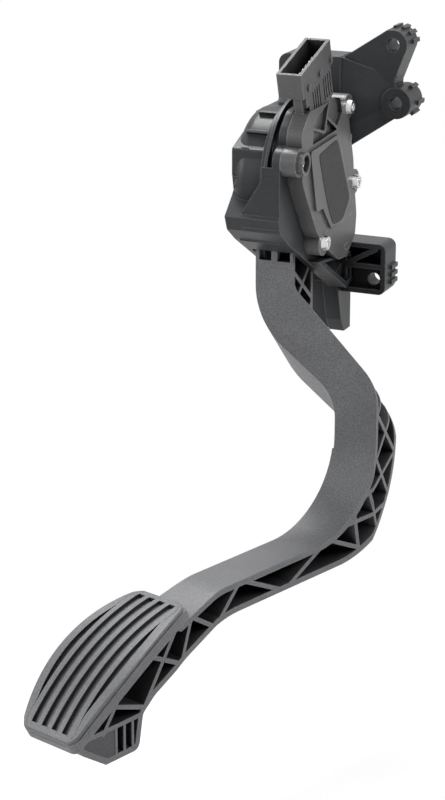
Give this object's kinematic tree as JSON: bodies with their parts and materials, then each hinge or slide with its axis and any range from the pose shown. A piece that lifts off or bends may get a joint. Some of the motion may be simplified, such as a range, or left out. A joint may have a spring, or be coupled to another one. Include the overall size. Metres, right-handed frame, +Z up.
{
  "type": "accelerator pedal sensor",
  "caption": "Hanging accelerator pedal with a truss-ribbed arm and grooved pad, turning in a moulded housing with a contactless position sensor and connector.",
  "frame": {"origin": "centre of the upper mounting hole on the mounting face", "axes": "+X to the driver's right along the pivot, +Y forwards through the mounting face into the bulkhead, +Z up"},
  "size_m": [0.0957, 0.2838, 0.3044],
  "materials": {
    "housing_plastic": "moulded, fine grain",
    "arm_plastic": "moulded, fine grain, glass filled",
    "cover_plastic": "moulded, satin",
    "bush_plastic": "natural, low friction",
    "steel": "ground",
    "spring_steel": "drawn wire",
    "screw_steel": "zinc plated",
    "rubber": "moulded",
    "board": "solder mask",
    "chip": "moulded",
    "contact": "tinned",
    "target": "stamped"
  },
  "bodies": {
    "housing": {"housing": "housing_plastic", "end_cap": "housing_plastic", "left_bush": "bush_plastic", "right_bush": "bush_plastic", "outer_return_spring": "spring_steel", "inner_return_spring": "spring_steel", "spring_seat": "bush_plastic", "friction_shoe": "bush_plastic", "friction_spring": "spring_steel", "idle_stop_pad": "rubber", "sensor_cover": "cover_plastic", "cover_seal": "rubber", "cover_screws": "screw_steel", "circuit_board": "board", "sensor_chips": "chip", "connector_pins": "contact"},
    "pedal": {"pedal_arm": "arm_plastic", "pivot_shaft": "steel", "shaft_clip": "steel", "rotor_carrier": "bush_plastic", "rotor_target": "target"}
  },
  "joints": [
    {"name": "pedal_pivot", "type": "hinge", "parent": "housing", "child": "pedal", "pos_m": [-0.0405, -0.061, -0.0595], "axis": [1, 0, 0], "range_deg": [0, 16], "stiffness_Nm_per_rad": 10.5, "springref_deg": -21.77, "deforming": ["outer_return_spring", "inner_return_spring"]}
  ]
}
